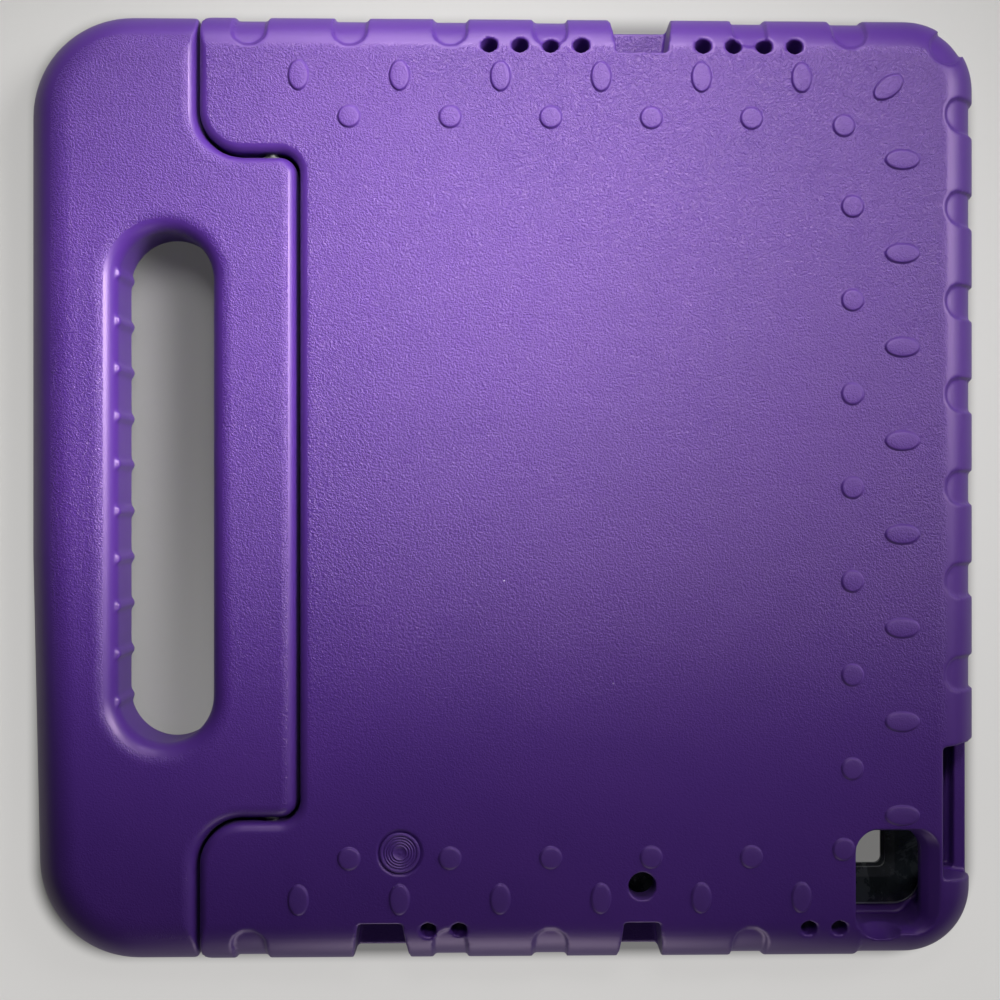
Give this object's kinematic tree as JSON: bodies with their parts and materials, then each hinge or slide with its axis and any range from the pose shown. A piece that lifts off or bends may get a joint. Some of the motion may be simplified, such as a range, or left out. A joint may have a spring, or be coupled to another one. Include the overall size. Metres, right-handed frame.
{
  "type": "kids tablet case",
  "caption": "Thick moulded foam case for a tablet, with a screen frame at the front and a carry handle that folds out as a stand.",
  "frame": {"origin": "on the floor under the middle of the outline, the case lying on its front rim with its back up", "axes": "+X away from the handle, +Y along the tablet's length towards its top end, +Z out of the back"},
  "size_m": [0.2778, 0.277, 0.0248],
  "materials": {
    "shell_foam": "purple moulded foam with a fine leather grain",
    "handle_foam": "purple moulded foam, smoother than the back",
    "black_plastic": "glossy black",
    "clear_film": "clear film",
    "pin_plastic": "black moulded plastic",
    "grey_plastic": "plain moulded plastic"
  },
  "bodies": {
    "case": {"case_shell": "shell_foam", "screen_frame": "black_plastic", "screen_film": "clear_film", "hinge_pin_upper": "pin_plastic", "hinge_pin_lower": "pin_plastic", "ear_bush_upper": "grey_plastic", "ear_bush_lower": "grey_plastic"},
    "handle": {"handle": "handle_foam", "handle_sleeve_upper": "grey_plastic", "handle_sleeve_lower": "grey_plastic"}
  },
  "joints": [
    {"name": "handle_fold", "type": "hinge", "parent": "case", "child": "handle", "pos_m": [-0.0677, 0, 0.0185], "axis": [0, 1, 0], "range_deg": [0, 110]}
  ]
}
